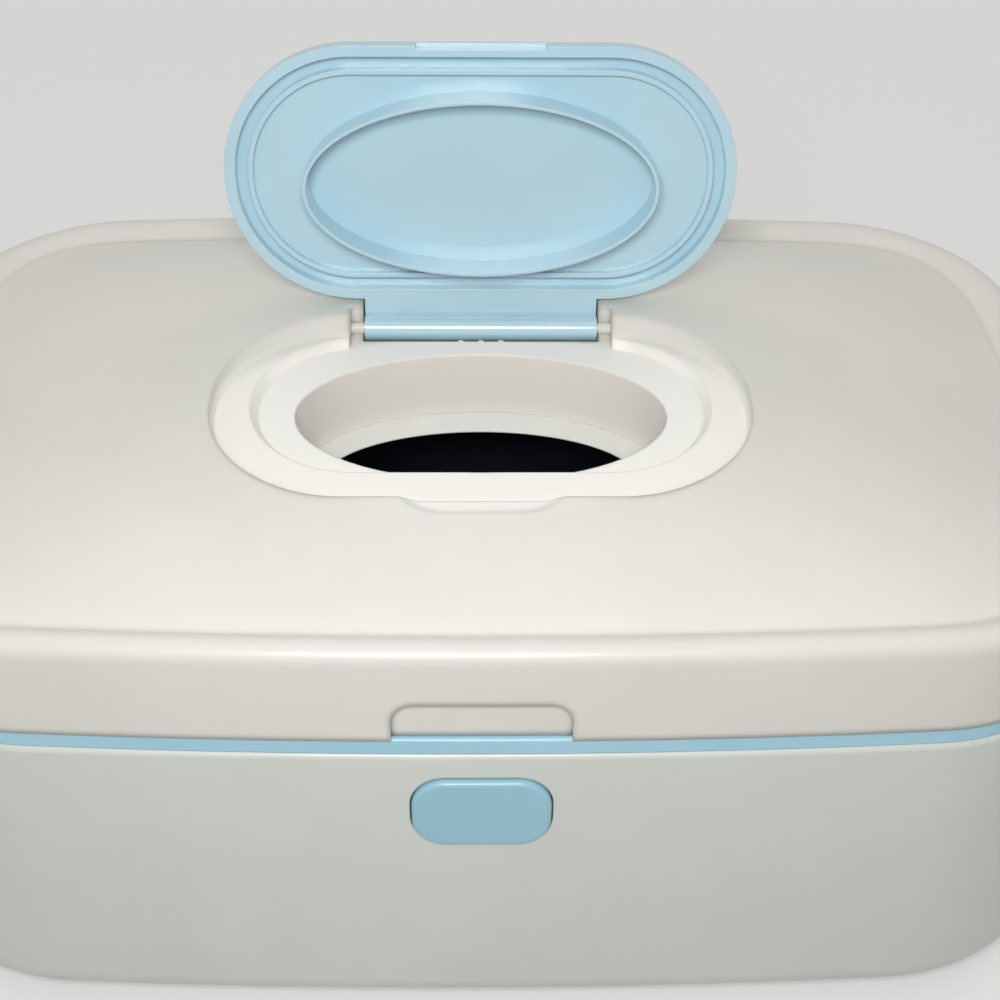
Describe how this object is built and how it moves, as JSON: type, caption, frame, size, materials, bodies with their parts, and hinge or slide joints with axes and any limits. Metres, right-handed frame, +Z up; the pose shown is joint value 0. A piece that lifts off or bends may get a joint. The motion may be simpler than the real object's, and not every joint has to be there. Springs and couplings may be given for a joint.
{
  "type": "baby wipe warmer",
  "caption": "Countertop baby wipe warmer with a hinged domed lid, a dispensing flap held open, a soft-lipped throat, a heated inner tub and a front push button.",
  "frame": {"origin": "centre of the footprint, on the plane that the rubber feet stand on", "axes": "+Z up, -Y towards the front with the push button, +X to the right seen from the front"},
  "size_m": [0.2766, 0.1764, 0.1696],
  "materials": {
    "white_body": "satin warm white moulding",
    "blue_flap": "glossy pale blue moulding",
    "blue_trim": "glossy mid blue moulding",
    "blue_button": "satin blue moulding",
    "soft_lip": "matte pale silicone",
    "tub_plastic": "matte dark moulding",
    "cover_plastic": "fine-textured moulding",
    "rubber_grey": "matte rubber",
    "screw_steel": "zinc-plated steel",
    "pin_steel": "drawn steel rod",
    "heater_metal": "rolled sheet",
    "film_amber": "film over etched foil",
    "pad_fibre": "needled fibre pad",
    "board_green": "solder mask over glass laminate",
    "part_black": "moulded component body",
    "can_metal": "drawn can",
    "connector_cream": "nylon housing",
    "led_lens": "diffused lens"
  },
  "bodies": {
    "base": {"base_shell": "white_body", "bottom_cover": "cover_plastic", "bottom_screws": "screw_steel", "rubber_feet": "rubber_grey", "accent_ring": "blue_trim", "inner_tub": "tub_plastic", "heater_plate": "heater_metal", "heating_film": "film_amber", "insulation_pad": "pad_fibre", "thermostat": "can_metal", "thermal_fuse": "can_metal", "control_board": "board_green", "board_screws": "screw_steel", "capacitors": "can_metal", "relay": "part_black", "controller_chip": "part_black", "board_connectors": "connector_cream", "power_inlet": "part_black", "tact_switch": "part_black", "switch_board": "board_green", "switch_board_screws": "screw_steel", "indicator_led": "led_lens", "lid_hinge_pins": "pin_steel"},
    "button": {"button_cap": "blue_button", "switch_stem": "connector_cream"},
    "lid": {"lid_shell": "white_body", "lid_liner": "white_body", "throat_lip": "soft_lip", "lid_gasket": "soft_lip", "liner_screws": "screw_steel", "flap_hinge_pin": "white_body"},
    "flap": {"flap_cover": "blue_flap", "flap_panel": "blue_flap"}
  },
  "joints": [
    {"name": "lid_hinge", "type": "hinge", "parent": "base", "child": "lid", "pos_m": [0, 0.0853, 0.0798], "axis": [-1, 0, 0], "range_deg": [0, 100]},
    {"name": "flap_hinge", "type": "hinge", "parent": "lid", "child": "flap", "pos_m": [0, 0.0226, 0.1061], "axis": [1, 0, 0], "range_deg": [0, 99.5]},
    {"name": "button_press", "type": "slide", "parent": "base", "child": "button", "axis": [0, 0.9965, -0.0837], "range_m": [0, 0.0008], "stiffness_N_per_m": 600}
  ]
}
